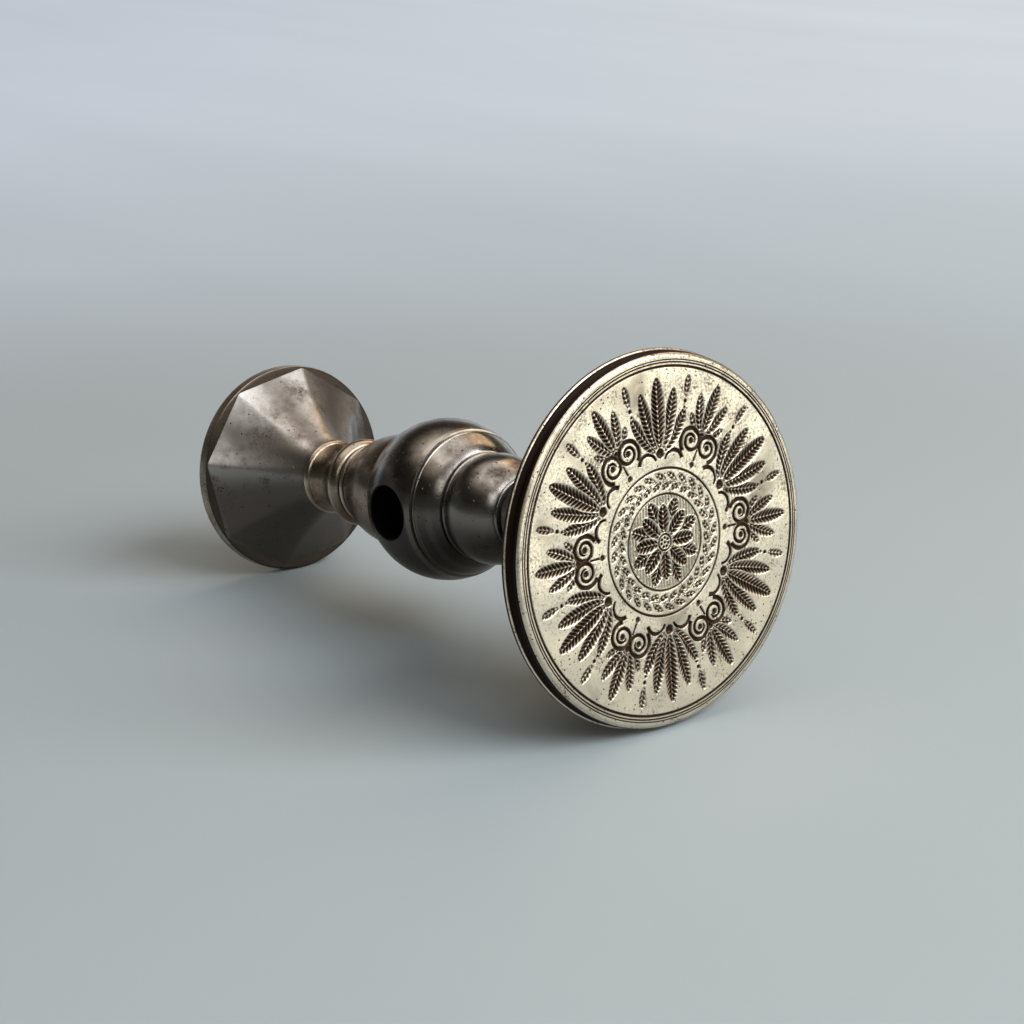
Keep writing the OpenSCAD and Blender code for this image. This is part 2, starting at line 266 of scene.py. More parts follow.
tree.nodes["Background"].inputs["Color"].default_value = linear("#f6e8d6")
print("room glows from", DIM, "to", PALE, "at the horizon")

# %% [markdown]
# A grid of places, closed round its columns, is all that a turned or cut piece needs.
# Its ends are closed to a point, or the last row is joined to the first to make a ring.
# Depths and other measures go along as attributes, so that a material can follow them.

# %% Skin over a grid
def skin(name, points, body, node, slot, material, ring=False, sharp=40, normals=None, **measures):
    """Quads between neighbouring rows and columns. Columns wrap. On a ring rows wrap; else each end row is a point."""
    rows, cols = points.shape[:2]
    index = np.arange(rows * cols).reshape(rows, cols)
    if not ring:
        index[0], index[-1] = index[0, 0], index[-1, 0]
    a, b = (index, np.roll(index, -1, 0)) if ring else (index[:-1], index[1:])
    quads = np.stack([a, b, np.roll(b, -1, 1), np.roll(a, -1, 1)], -1).reshape(-1, 4)
    used, flat = np.unique(quads, return_inverse=True)
    # A corner that comes twice in a quad is dropped, so a quad at a point becomes a triangle.
    faces = [list(dict.fromkeys(q)) for q in flat.reshape(-1, 4).tolist()]
    mesh = bpy.data.meshes.new(name)
    mesh.from_pydata(points.reshape(-1, 3)[used].tolist(), [], faces)
    for key, values in measures.items():
        layer = mesh.attributes.new(key, "FLOAT", "POINT")
        values = np.broadcast_to(values, (rows, cols)).reshape(-1)[used]
        layer.data.foreach_set("value", values.astype(np.float32))
    mesh.shade_smooth()
    mesh.set_sharp_from_angle(angle=math.radians(sharp))
    if normals is not None:
        normals = normals.reshape(-1, 3)[used]
        mesh.normals_split_custom_set_from_vertices(normals / np.linalg.norm(normals, axis=1, keepdims=True))
    mesh.materials.append(material)
    piece = bpy.data.objects.new(name, mesh)
    bpy.context.scene.collection.objects.link(piece)
    if node:
        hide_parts(node)
    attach(piece, body)
    print(name, "has", len(mesh.polygons), "faces")


def round_the_axis(outline, sides=256):
    """A turned piece: each (radius, height) of the outline swept round the axis in equal steps."""
    outline = np.asarray(outline, float)
    return place(outline[:, :1], around(sides), outline[:, 1:])


def arc(cx, cz, r, a0, a1, count):
    """Places along a circle from angle a0 to a1, in degrees."""
    t = np.radians(np.linspace(a0, a1, count))
    return np.stack([cx + r * np.cos(t), cz + r * np.sin(t)], 1)


print("a ring of", round_the_axis([[1, 0], [1, 1]]).shape[1], "places goes round a turned piece")

# %% [markdown]
# All the metal is old steel, and it ages in the same few ways, so one recipe serves every finish.
# First the stains. Steel that is handled goes brown in blotches a few millimetres wide.
# A finer noise breaks the blotches up, adds flecks between them, and broad smudges lie over all.
# The recipe works in the seal's own axes, in millimetres, so that sizes in it are real sizes.

# %% Stains
# The freckles of old polish are about 0.1 mm wide and would not show, so they are drawn 0.3 mm wide.
FLECK_MM = 0.3
SMUDGE = 2.2


def stains(tree, local, blotch_mm, grain):
    """The largest of blotches times speckles, flecks and smudges, from bright 0 to stained 1; and the fine noise."""
    blotch = {"Vector": local, "Scale": 1 / blotch_mm, "Detail": 6.0, "Roughness": 0.62}
    blotch = add(tree, "TexNoise", blotch).outputs[0]
    blotch = add(tree, "MapRange", {"Value": blotch, "From Min": 0.40, "From Max": 0.64}).outputs[0]
    fine = {"Vector": local, "Scale": 1 / FLECK_MM, "Detail": 3.0, "Roughness": 0.7}
    fine = add(tree, "TexNoise", fine).outputs[0]
    speckle = add(tree, "MapRange", {"Value": fine, "From Min": 0.42, "From Max": 0.62}).outputs[0]
    speckle = add(tree, "Math", {0: blotch, 1: speckle}, operation="MULTIPLY").outputs[0]
    stain = add(tree, "Mix", {0: grain, 2: blotch, 3: speckle}).outputs[0]
    flecks = {"Value": fine, "From Min": 0.44, "From Max": 0.66, "To Max": 0.8 * grain}
    flecks = add(tree, "MapRange", flecks).outputs[0]
    smudge = {"Vector": local, "Scale": 1 / (SMUDGE * blotch_mm), "Detail": 3.0, "Distortion": 0.6}
    smudge = add(tree, "TexNoise", smudge).outputs[0]
    smudge = {"Value": smudge, "From Min": 0.48, "From Max": 0.72, "To Max": 0.75}
    smudge = add(tree, "MapRange", smudge).outputs[0]
    for more in (flecks, smudge):
        stain = add(tree, "Math", {0: stain, 1: more}, operation="MAXIMUM").outputs[0]
    return stain, fine


print("flecks are", FLECK_MM, "mm wide, and smudges are", SMUDGE, "times as wide as blotches")

# %% [markdown]
# Then the grime and the painted shade. Rust leaves small round pits, and dark wax and grease stay in them and in all
# corners.
# Pits are the middles of scattered cells, and only a share of the cells has one.
# Corners are found by asking how much of the sky a place sees within a short distance; they are painted dark, as grease
# and as painted shade.

# %% Pits, grime and painted shade
# A rust pit is 0.05 to 0.1 mm across and would not show, so cells of 0.45 mm give pits of about 0.2 mm.
PIT_CELL_MM = 0.45


def pits_dirt_and_shade(tree, local, share, corner_shade_mm):
    """Pits are near the middle of the chosen cells; grime and painted shade is the larger of pits and hidden corners.
    """
    cells = add(tree, "TexVoronoi", {"Vector": local, "Scale": 1 / PIT_CELL_MM, "Randomness": 1.0}).outputs
    hole = {"Value": cells["Distance"], "From Min": 0.12, "From Max": 0.26, "To Min": 1.0, "To Max": 0.0}
    hole = add(tree, "MapRange", hole).outputs[0]
    chosen = add(tree, "SeparateColor", {0: cells["Color"]}).outputs[0]
    chosen = add(tree, "Math", {0: chosen, 1: share}, operation="LESS_THAN").outputs[0]
    pit = add(tree, "Math", {0: hole, 1: chosen}, operation="MULTIPLY").outputs[0]
    # Hidden corners are painted dark: grease, and painted shade where shade falls.
    corner_shade = add(tree, "AmbientOcclusion", {"Distance": corner_shade_mm / 1000}, samples=6).outputs["AO"]
    corner_shade = {"Value": corner_shade, "From Min": 0.35, "From Max": 0.85, "To Min": 0.9, "To Max": 0.0}
    corner_shade = add(tree, "MapRange", corner_shade).outputs[0]
    return pit, add(tree, "Math", {0: corner_shade, 1: pit}, operation="MAXIMUM").outputs[0]


print("a pit can be in each cell of", PIT_CELL_MM, "mm")

# %% [markdown]
# Last the relief. Hand polishing leaves a face faintly wavy, which is what makes its shine look alive.
# The grain and the pits are felt too, and a lathe leaves fine marks round the axis.
# All of these are far thinner than a mesh could hold, so they are bump: heights in millimetres that tilt the shading.

# %% Relief
WAVE_MM = 5.0
GRAIN_HIGH, PIT_DEEP = 0.03, 0.05
# Turning marks are a few hundredths of a millimetre apart and would not show, so they are drawn 0.25 mm apart.
MARK_MM = 0.25


def relief(tree, local, along, fine, pit, grain, wavy, turned):
    """Height is wavy times a broad noise, plus grain, less pits, plus turning marks that depend on height alone."""
    wave = add(tree, "TexNoise", {"Vector": local, "Scale": 1 / WAVE_MM, "Detail": 1.0}).outputs[0]
    height = add(tree, "Math", {0: wave, 1: wavy}, operation="MULTIPLY").outputs[0]
    layers = [(fine, GRAIN_HIGH * grain), (pit, -PIT_DEEP)]
    if turned:
        marks = {"W": along, "Scale": 1 / MARK_MM, "Detail": 2.0}
        layers.append((add(tree, "TexNoise", marks, noise_dimensions="1D").outputs[0], turned))
    for layer, high in layers:
        height = add(tree, "Math", {0: layer, 1: high, 2: height}, operation="MULTIPLY_ADD").outputs[0]
    return add(tree, "Bump", {"Height": height, "Strength": 1.0, "Distance": 0.001}).outputs[0]


print("polish waves are", WAVE_MM, "mm wide, turning marks", MARK_MM, "mm")

# %% [markdown]
# The recipe lays these over each other: bright metal, brown stains, edges and crests rubbed bright by handling,
# brown in the engraver's cuts, and grime with painted shade over all. Under grime and painted shade the metal is dull
# and mirrors little.
# The side below the axis is painted browner and darker: painted shade of the underside.

# %% Old steel
WORN_EDGE, WORN_CREST = "#d8cfbd", "#dcd2c0"
EDGE_MM = 0.3
CREST_SHARE = 0.75
DULLER = 0.18


def old_steel(name, bright, stain, dirt_and_shade_colour, rough, blotch_mm, grain=0.2, pits=0.1, turned=0.0, wavy=0.12,
              corner_shade_mm=1.0, worn=0.12, cut=None, bore_shade=None, rubbed=(), underside_shade=None):
    """Bright metal mixed to stain, then to worn metal on edges and rubbed rings, then to the colours of cuts and of
    grime and painted shade.

    rubbed lists rings as (height, half width). underside_shade says where below the axis the painted shade of the
    underside starts and is full, and its share. cut and bore_shade are the colours of cuts and of the mouth of the
    bore, whose inside is painted shade.
    """
    steel, tree, shader = new_material(name)
    shader.inputs["Specular IOR Level"].default_value = 0.1
    local = {"Vector": add(tree, "TexCoord").outputs["Object"], "Location": FOOT / 1000,
             "Rotation": (0, math.pi / 2 - TILT, 0), "Scale": (0.001, 0.001, 0.001)}
    local = add(tree, "Mapping", local, vector_type="TEXTURE").outputs[0]
    down, _, along = add(tree, "SeparateXYZ", {0: local}).outputs
    stain_and_shade, fine = stains(tree, local, blotch_mm, grain)
    pit, dirt_and_shade = pits_dirt_and_shade(tree, local, pits, corner_shade_mm)
    # Painted shade: below the axis the colour goes towards the stain colour, darker towards the bottom.
    if underside_shade:
        below = {"Value": down, "From Min": underside_shade[0], "From Max": underside_shade[1], "To Max": underside_shade[2]}
        below = add(tree, "MapRange", below, **SOFT).outputs[0]
        stain_and_shade = add(tree, "Math", {0: stain_and_shade, 1: below}, operation="MAXIMUM").outputs[0]
    colour = add(tree, "Mix", {0: stain_and_shade, 6: linear(bright), 7: linear(stain)}, **BLEND).outputs[2]
    edge = add(tree, "AmbientOcclusion", {"Distance": EDGE_MM / 1000}, samples=6, inside=True).outputs["AO"]
    edge = {"Value": edge, "From Min": 0.55, "From Max": 0.95, "To Min": worn, "To Max": 0.0}
    edge = add(tree, "MapRange", edge).outputs[0]
    colour = add(tree, "Mix", {0: edge, 6: colour, 7: linear(WORN_EDGE)}, **BLEND).outputs[2]
    for z, half in rubbed:
        off = add(tree, "Math", {0: along, 1: z}, operation="SUBTRACT").outputs[0]
        off = add(tree, "Math", {0: off}, operation="ABSOLUTE").outputs[0]
        crest = {"Value": off, "From Max": half, "To Min": CREST_SHARE, "To Max": 0.0}
        crest = add(tree, "MapRange", crest, **SOFT).outputs[0]
        colour = add(tree, "Mix", {0: crest, 6: colour, 7: linear(WORN_CREST)}, **BLEND).outputs[2]
    if cut:
        depth = add(tree, "Attribute", attribute_name="cut").outputs["Fac"]
        brown = add(tree, "MapRange", {"Value": depth, "From Min": 0.015, "From Max": 0.16}).outputs[0]
        deep = add(tree, "MapRange", {"Value": depth, "From Min": 0.14, "From Max": 0.40}).outputs[0]
        colour = add(tree, "Mix", {0: brown, 6: colour, 7: linear(cut)}, **BLEND).outputs[2]
        dirt_and_shade = add(tree, "Math", {0: dirt_and_shade, 1: deep}, operation="MAXIMUM").outputs[0]
    # The inside of the bore is painted near black as painted shade, with rust brown only round its mouth.
    if bore_shade:
        off = add(tree, "VectorMath", {0: local, 1: (1, 0, 1)}, operation="MULTIPLY").outputs[0]
        off = add(tree, "VectorMath", {0: off, 1: (0, 0, BORE_Z)}, operation="DISTANCE").outputs["Value"]
        inside = {"Value": off, "From Min": BORE_R + 0.02, "From Max": BORE_R + 0.3, "To Min": 1.0, "To Max": 0.0}
        inside = add(tree, "MapRange", inside).outputs[0]
        colour = add(tree, "Mix", {0: inside, 6: colour, 7: linear(bore_shade)}, **BLEND).outputs[2]
        dirt_and_shade = add(tree, "Math", {0: dirt_and_shade, 1: inside}, operation="MAXIMUM").outputs[0]
    # Pits, hidden corners, deep cuts and the inside of the bore take the darkest colour: grime, patina and painted
    # shade.
    colour = add(tree, "Mix", {0: dirt_and_shade, 6: colour, 7: linear(dirt_and_shade_colour)}, **BLEND).outputs[2]
    dull = add(tree, "Math", {0: stain_and_shade, 1: dirt_and_shade}, operation="MAXIMUM").outputs[0]
    dull = add(tree, "MapRange", {"Value": dull, "To Min": rough, "To Max": rough + DULLER}).outputs[0]
    metal = add(tree, "MapRange", {"Value": dirt_and_shade, "To Min": 1.0, "To Max": 0.15}).outputs[0]
    bump = relief(tree, local, along, fine, pit, grain, wavy, turned)
    for key, socket in (("Base Color", colour), ("Roughness", dull), ("Metallic", metal), ("Normal", bump)):
        tree.links.new(socket, shader.inputs[key])
    return steel


print("edges are worn within", EDGE_MM, "mm")

# %% [markdown]
# Each finish is that recipe with the colours and the wear of one piece.
# Colours are those of the metal itself: what it mirrors makes it look lighter or darker.

# %% Finishes
# Steel polished by hand and engraved: pale, warm and freckled, with a soft uneven shine and brown cuts, and painted
# shade that darkens it towards the bottom.
engraved_steel = old_steel(
    "polished_steel_engraved", "#fdf5e0", "#6a6154", "#24160f", 0.28, 2.6, grain=0.8, pits=0.3, wavy=0.3,
    corner_shade_mm=0.4, worn=0.2, cut="#604d3e", underside_shade=(-10, 14, 0.4))
# Steel turned and burnished, the ball: smooth and dark, with long clear highlights, rust round the mouth of the bore,
# the bore's inside painted black as shade, and painted shade on the underside.
ball_steel = old_steel(
    "burnished_steel_bored", "#a8a39c", "#352c29", "#120e0d", 0.15, 5.0, turned=0.003, bore_shade="#2c130a",
    underside_shade=(-6, 2, 0.9))
# The same on the bell and the neck ring: a little lighter, because fingers hold the seal there; painted shade on the
# underside.
dark_steel = old_steel(
    "burnished_steel_turned", "#b8b4ae", "#463a33", "#120e0d", 0.17, 4.0, turned=0.003, underside_shade=(-4, 2, 0.85))
# Turned steel gone brown, the stem: warm and streaked, with bright crests on its three rings and painted shade on the
# underside.
stem_steel = old_steel(
    "browned_steel_turned", "#b6ab9b", "#6a5040", "#181110", 0.18, 3.5, turned=0.003, underside_shade=(-4, 3, 0.75),
    rubbed=((10.75, 0.6), (16.8, 0.9), (18.85, 0.35)))
# Filed steel gone brown, the bosses: broad satin facets, lighter along the ridges, with painted shade on the underside.
browned_steel = old_steel(
    "browned_steel_filed", "#b6b2ad", "#4a3e37", "#171212", 0.34, 3.6, grain=0.35, wavy=0.15, worn=0.05,
    cut="#625b56", underside_shade=(-5, 3, 0.85))
# Polished steel gone brown, the small disc: greyer than the main face and less shiny.
small_face_steel = old_steel(
    "browned_steel_engraved", "#b8ae9f", "#5c5047", "#171110", 0.28, 4.0, grain=0.6, cut="#4d463f")
# Steel cut to a thread, with old oil: dark grey, with a bright glint along each crest.
screw_steel = old_steel("cut_screw_steel_oiled", "#8a857c", "#5c554c", "#1f1a16", 0.32, 3.0)
print("finishes:", [m.name for m in bpy.data.materials if "steel_" in m.name])

# %% [markdown]
# The engraver works in depth: each cut is a hollow that will stand up in the wax.
# So the design is a function that gives a depth for each place on the face.
# A few kinds of cut make all of it: a cupped leaf, a round-bottomed line, a punched dot and a coiling scroll.
# Where one leaf passes before another, the engraver leaves a hair of bare metal round the front one.
# Here a cut marks that hair with minus one, and laying the cuts in order keeps it.

# %% The engraver's cuts
HAIR = 0.11
VEIN_MM, RIB_MM = 0.5, 0.1
LEAF_FULL = 2.15


def leaf(x, y, x0, y0, angle, length, half, bend, depth):
    """Half-width grows and shrinks along a bent spine; depth is a round cup with slanting veins and a raised rib."""
    c, s = np.cos(angle), np.sin(angle)
    t = ((x - x0) * s + (y - y0) * c) / length
    side = np.abs((x - x0) * c - (y - y0) * s - bend * length * t * t)
    tt = np.clip(t, 1e-4, 1 - 1e-4)
    width = half * LEAF_FULL * tt ** 0.62 * (1 - tt) ** 0.55
    q = np.minimum(side / width, 1)
    barb = 0.5 + 0.5 * np.cos(2 * np.pi * (length / VEIN_MM * tt - 0.8 * side / VEIN_MM))
    rib = np.exp(-(side / RIB_MM) ** 2)
    cut = 0.02 + depth * (1 - q ** 2) * (0.25 + 0.75 * barb) * (1 - 0.75 * rib)
    edge = HAIR / length
    near = (t > -edge) & (t < 1 + edge) & (side < width + HAIR)
    return np.where((t > 0) & (t < 1) & (q < 1), cut, -1.0 * near)


def line(off, half, depth):
    """A round-bottomed cut: an ellipse across, deepest where the distance off the line is nil."""
    off = np.abs(off)
    hollow = depth * np.sqrt(np.clip(1 - (off / half) ** 2, 1e-6, 1))
    return np.where(off < half, hollow, -1.0 * (off < half + HAIR))


def dot(x, y, cx, cy, r, depth):
    """A punched hollow: the same ellipse round one point."""
    return line(np.hypot(x - cx, y - cy), r, depth)


def lay(*cuts):
    """Cuts laid one over another: a later one hides what is under it and keeps its hair of bare metal."""
    face = 0.0
    for cut in cuts:
        face = np.where(cut == 0, face, np.maximum(cut, 0))
    return face


def scroll(x, y, cx, cy, start, turns, r0, r1, h0, h1, depth, hand):
    """A line along a spiral whose radius falls evenly from r0 to r1 over the turns, one layer for each turn."""
    rho = np.hypot(x - cx, y - cy)
    psi = np.mod(hand * (np.arctan2(y - cy, x - cx) - start), 2 * np.pi)
    lap = np.arange(math.ceil(turns) + 1).reshape(-1, *[1] * x.ndim)
    t = (psi + 2 * np.pi * lap) / (2 * np.pi * turns)
    cut = line(rho - (r0 + (r1 - r0) * t), h0 + (h1 - h0) * np.clip(t, 0, 1), depth)
    return lay(*np.where(t <= 1, cut, 0))


def spoke(r, angle, count, start=0.0):
    """Place across and along the nearest of count equal spokes, so one motif is repeated round the face."""
    step = 2 * np.pi / count
    f = np.mod(angle - start + step / 2, step) - step / 2
    return r * np.sin(f), r * np.cos(f)


print(f"a dot of radius 0.2 mm and depth 0.3 mm is {float(dot(0.1, 0.0, 0, 0, 0.2, 0.3)):.2f} mm deep half way out")

# %% [markdown]
# The design is a common one: a double rosette, a laurel wreath round it, and palmettes with scrolls in the field.
# It is drawn once for one spoke and folded round, which is how such a face was set out with a compass.
# The rim has one strong line and two fine ones.

# %% The main face's design
ROSETTE_R, WREATH_R, FIELD_R, RIM_R = 5, 7.75, 13.2, 18.3
LAUREL_R, LAURELS = 6.4, 28
GROUND_MM = 0.4


def rosette(r, a):
    """Two rows of petals round a seeded eye, on a ground of fine upright lines."""
    ground = np.where(r < 4.9, 0.09 * np.cos(np.pi * r * np.sin(a) / GROUND_MM) ** 2, 0)
    back = leaf(*spoke(r, a, 8, np.pi / 8), 0, 0.9, 0, 3.85, 0.9, 0, 0.42)
    front = leaf(*spoke(r, a, 8), 0, 0.9, 0, 3.1, 0.8, 0, 0.5)
    eye = np.where(r < 0.95, -1.0, 0)
    seeds = dot(*spoke(r, a, 7), 0, 0.48, 0.17, 0.24)
    return lay(ground, back, front, eye, line(r - 0.84, 0.1, 0.24), seeds, line(r, 0.17, 0.24))


def wreath(r, a):
    """Two rows of laurel leaves on a stem, between two lines."""
    cuts = [line(r - LAUREL_R, 0.07, 0.16)]
    for side in (-1, 1):
        x, y = spoke(r, a, LAURELS, 0.0 if side > 0 else np.pi / LAURELS)
        cuts.append(leaf(x, y - LAUREL_R, -0.6, side * 0.1, np.pi / 2 - side * 0.6, 1.6, 0.36, side * 0.12, 0.34))
    return lay(*cuts, line(r - 5.05, 0.1, 0.2), line(r - WREATH_R, 0.12, 0.22))


def palmettes(r, a):
    """Six palmettes of five leaves with paired scrolls, and a sprig between each two."""
    x, y = spoke(r, a, 6, np.pi / 6)
    x = np.abs(x)
    cuts = [leaf(x, y, 0.4, 11.7, 1.02, 2.7, 0.5, -0.12, 0.36),
            leaf(x, y, 0.3, 12.0, 0.58, 4.1, 0.66, -0.14, 0.4),
            leaf(x, y, 0, 12.1, 0, 5.3, 0.8, 0, 0.44),
            dot(x, y, 0, 11.75, 0.36, 0.36),
            np.where((y > 8.6) & (y < 11.3), line(x, 0.11, 0.24), 0),
            dot(x, y, 0, 10.6, 0.26, 0.3),
            dot(x, y, 0, 8.55, 0.32, 0.3)]
    x, y = spoke(r, a, 6)
    x = np.abs(x)
    cuts += [scroll(x, y, 4.35, 10.0, np.radians(215), 1.7, 1.55, 0.42, 0.24, 0.14, 0.36, -1),
             dot(x, y, 4.35, 10.0, 0.34, 0.36),
             scroll(x, y, 1.75, 8.25, np.radians(160), 0.42, 1.2, 1.2, 0.12, 0.24, 0.34, -1),
             leaf(x, y, 0.7, 9.5, 0.80, 5.0, 0.76, -0.15, 0.42),
             leaf(x, y, 0.5, 9.8, 0.38, 6.3, 0.82, -0.08, 0.44),
             leaf(x, y, 0, 9.9, 0, 7.3, 1.0, 0, 0.48),
             dot(x, y, 0, 9.35, 0.52, 0.4)]
    x, y = spoke(r, a, 12, np.pi / 12)
    cuts += [leaf(x, y, 0, 15.2, 0, 2.3, 0.46, 0, 0.36),
             dot(x, y, 0, 14.75, 0.22, 0.3),
             dot(x, y, 0, 14.1, 0.16, 0.24)]
    return lay(*cuts)


def main_design(r, a):
    """The cuts of each zone, laid from the field inwards, and the lines of the rim; in millimetres."""
    middle = np.where(r < ROSETTE_R, rosette(r, a), 0)
    rim = [line(r - RIM_R, 0.13, 0.26), line(r - 18.68, 0.08, 0.18), line(r - 18.94, 0.06, 0.16)]
    return lay(palmettes(r, a), wreath(r, a), middle, *rim)


print(f"{(main_design(12.0 + 0 * around(720), around(720)) > 0).mean():.0%} of the circle 12 mm out is cut")

# %% [markdown]
# The engraved field is laid as three closed rings of fine grid, because one mesh that fine would be too heavy.
# The rings meet in cut lines or share their shading directions, so no seam shows.
# A bump pattern would be lighter, but real cuts catch the light along their walls when the seal turns.
# The shading directions come from the slope of the design itself, which keeps thin lines crisp.

# %% Main face
SLOPE_STEP = 0.06
STEEPEST = 2


def engraved_ring(name, design, r0, r1, rows, cols, face_z, facing, deep, *where):
    """Places at the face less the depth of cut, closed below by a flat floor; normals follow the slope of the depth."""
    def cuts(r, angle):
        return design(*np.broadcast_arrays(r, angle))

    angle = around(cols)
    r = np.linspace(r0, r1, rows)[:, None]
    depth = cuts(r, angle)
    swing = SLOPE_STEP / np.maximum(r, 0.05)
    outwards = cuts(r + SLOPE_STEP, angle) - cuts(np.maximum(r - SLOPE_STEP, 0), angle)
    sideways = cuts(r, angle + swing) - cuts(r, angle - swing)
    outwards, sideways = (np.clip(d / (2 * SLOPE_STEP), -STEEPEST, STEEPEST)[..., None] for d in (outwards, sideways))
    middle = place(0, angle, 0)
    out = place(1000, facing * angle, 0) - middle
    side = facing * (place(1000, facing * angle + np.pi / 2, 0) - middle)
    slope = facing * AXIS + outwards * out + sideways * side
    top = place(r, facing * angle, face_z - facing * depth)
    floor = face_z - facing * deep
    low = place([[r0], [r1]], facing * angle, floor)
    flat = np.broadcast_to(-facing * AXIS, low[:1].shape)
    none = 0 * depth[:1]
    if r0:
        grid, normals, cut = [low[:1], top, low[1:]], [flat, slope, flat], [none, depth, none]
    else:
        grid, normals, cut = [top, low[1:], place(0 * angle, 0, floor)], [slope, flat, flat], [depth, none, none]
    grid, normals, cut = (np.concatenate(part) for part in (grid, normals, cut))
    print(f"{(depth > 0.03).mean():.0%} of the grid of {name} is cut, {depth.max():.2f} mm at the deepest")
    skin(name, grid, *where, ring=bool(r0), sharp=180, normals=normals, cut=cut)


HEAD = ("main_head", "main_matrix", "engraved_steel", engraved_steel)
for zone, r0, r1, rows, cols in (("rosette", 0, WREATH_R, 128, 720),
                                 ("inner_field", WREATH_R, FIELD_R, 84, 1080),
                                 ("outer_field", FIELD_R, RIM_R, 70, 1320)):
    engraved_ring("main_face_" + zone, main_design, r0, r1, rows, cols, FACE_Z, 1, 0.6, *HEAD)

# %% [markdown]
# The disc behind the engraving is turned: a bead at the back, a cove, and a rounded front edge.
# Its outline is one closed line from the centre of the front to the tenon behind, swept round the axis.
# The cove, the outer part of the edge and the sides of the bead count as cut: this is painted shade, and it leaves the
# bead's crest bright as a painted highlight.

# %% Main disc
PLATE_Z = FACE_Z - 2.2
DISC_R, EDGE_R, EDGE_ROUND, BEAD_ROUND = 20.0, 19.7, 0.5, 0.28
COVE_WIDE, COVE_DEEP = 1.09, 0.45
TENON_R, TENON_L, CHAMFER = 6, 3, 0.2
BED_Z = FACE_Z - 0.65
cove_r = (COVE_WIDE ** 2 / 4 + COVE_DEEP ** 2) / (2 * COVE_DEEP)
cove_half = math.degrees(math.asin(COVE_WIDE / 2 / cove_r))
cove_z = PLATE_Z + 2 * BEAD_ROUND + COVE_WIDE / 2
border_r = np.linspace(RIM_R, EDGE_R - EDGE_ROUND, 81)
border_cut = main_design(border_r, 0 * border_r)
bed = [[0, BED_Z], [RIM_R, BED_Z]]
border = np.stack([border_r, FACE_Z - border_cut], 1)
edge = arc(EDGE_R - EDGE_ROUND, FACE_Z - EDGE_ROUND, EDGE_ROUND, 86, 0, 16)
cove = arc(EDGE_R - COVE_DEEP + cove_r, cove_z, cove_r, 180 - cove_half, 180 + cove_half, 32)
bead = arc(DISC_R - BEAD_ROUND, PLATE_Z + BEAD_ROUND, BEAD_ROUND, 80, -90, 24)
tenon = [[TENON_R, PLATE_Z], [TENON_R, PLATE_Z - TENON_L + CHAMFER], [TENON_R - CHAMFER, PLATE_Z - TENON_L],
         [0, PLATE_Z - TENON_L]]
# Painted shade: the outer part of the front edge and the sides of the bead are darkened, and the cove most; the crest
# of the bead stays bright.
edge_shade = np.where(np.linspace(0, 1, 16) > 0.62, 0.42, 0.04)
bead_shade = np.interp(np.linspace(80, -90, 24), [15, 34, 58, 80], [0.35, 0, 0, 0.3])
runs = [(bed, 0.0), (border, np.maximum(border_cut, 0.05)), (edge, edge_shade), (cove, 0.45), (bead, bead_shade),
        (tenon, 0.0)]
outline = np.concatenate([run for run, _ in runs])
stain = np.concatenate([np.broadcast_to(cut, len(run)) for run, cut in runs])
skin("main_disc", round_the_axis(outline, 360), *HEAD, cut=stain[:, None])

# %% [markdown]
# The small disc is turned the same way, with a rosette of its own on the face that looks away, and painted shade on its
# back round the foot of the boss.
# Its grid runs with the other hand, because that face looks down the axis.

# %% Small disc
SMALL_FIELD_R, SMALL_LINE_R = 10.9, 11.3
SMALL_R, SMALL_T, SMALL_ROUND = 12.9, 1.7, 0.3


def small_design(r, a):
    """Two rows of eight petals, a seeded eye, dots past the tips, and two lines at the rim."""
    return lay(leaf(*spoke(r, a, 8, np.pi / 8), 0, 4.2, 0, 5.4, 1.1, 0, 0.36),
               leaf(*spoke(r, a, 8), 0, 1.5, 0, 7.2, 1.7, 0, 0.42),
               line(r - 1.2, 0.12, 0.2), dot(*spoke(r, a, 6), 0, 0.62, 0.2, 0.25), line(r, 0.2, 0.25),
               dot(*spoke(r, a, 8), 0, 9.8, 0.34, 0.3),
               line(r - SMALL_FIELD_R, 0.14, 0.2), line(r - SMALL_LINE_R, 0.08, 0.12))


SMALL = ("small_head", "small_matrix", "small_face_steel", small_face_steel)
front = [[0, 0.6], [SMALL_FIELD_R, 0.6], [SMALL_FIELD_R, 0.2], [11.04, 0], [11.22, 0], [SMALL_LINE_R, 0.12],
         [11.38, 0], [12.5, 0]]
middle_r = SMALL_R - SMALL_ROUND
rounds = [arc(middle_r, SMALL_ROUND, SMALL_ROUND, -85, 0, 10),
          arc(middle_r, SMALL_T - SMALL_ROUND, SMALL_ROUND, 0, 90, 10)]
tenon = [[4, SMALL_T], [4, 3.4], [3.9, 3.5], [0, 3.5]]
rim = np.concatenate([front, *rounds, tenon])
# Painted shade: the back of the disc round the foot of the boss counts as cut, so it is darkened.
back = np.where(rim[:, 1] > 1.62, 0.24, 0.04)
skin("small_disc", round_the_axis(rim[::-1], 240), *SMALL, cut=back[::-1, None])
engraved_ring("small_face_rosette", small_design, 0, SMALL_FIELD_R, 150, 600, 0.0, -1, 0.55, *SMALL)

# %% [markdown]
# The two bosses were filed to eight hollow facets, from a flat-sided foot to a nearly round neck.
# A file and the hand have softened the ridges, most of all at the neck.
# The radius at each angle is the facet's distance over a soft largest cosine of the angle to the eight facets:
# a high power keeps the ridge sharp, a low one rounds it.
# Hands rub the ridges bright and leave the hollows brown, so the measure of cut is greatest in a facet's middle.

# %% Filed bosses
FACETS = 8
NECK_POWER, FOOT_POWER = 12, 90
HOLLOW_STAIN = 0.12


